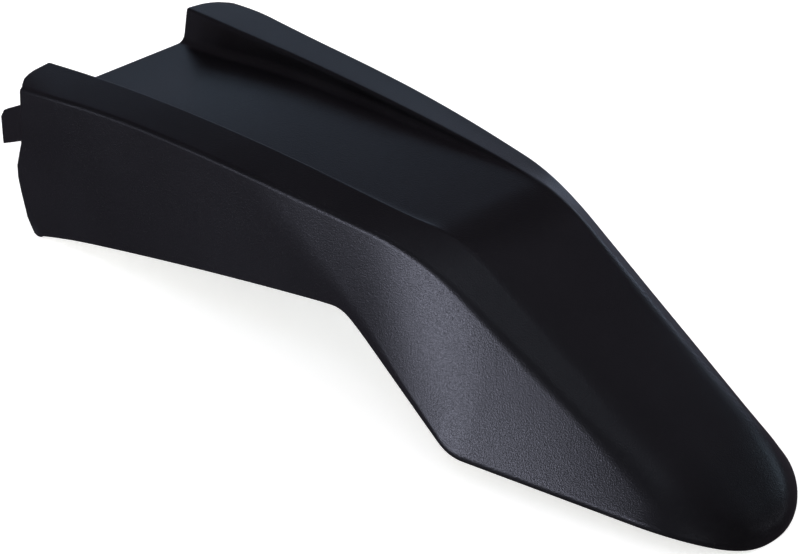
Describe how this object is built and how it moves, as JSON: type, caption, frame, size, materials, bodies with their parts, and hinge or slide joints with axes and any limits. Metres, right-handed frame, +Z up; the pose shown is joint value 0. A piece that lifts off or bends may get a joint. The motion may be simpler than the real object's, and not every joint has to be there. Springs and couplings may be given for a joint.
{
  "type": "motorcycle front mudguard",
  "caption": "Moulded plastic mudguard with a channel between raised rails, a knee and a sloping tongue with flared sides and a rounded nose.",
  "frame": {"origin": "centre of the bounding box, on the surface that the nose and the two rear lower corners rest on", "axes": "+X from the rear edge towards the nose, +Y across to the left side, +Z up"},
  "size_m": [0.463, 0.142, 0.098],
  "materials": {
    "plastic": "fine-grained black polypropylene, as moulded"
  },
  "bodies": {
    "root": {"mudguard": "plastic"}
  },
  "joints": []
}
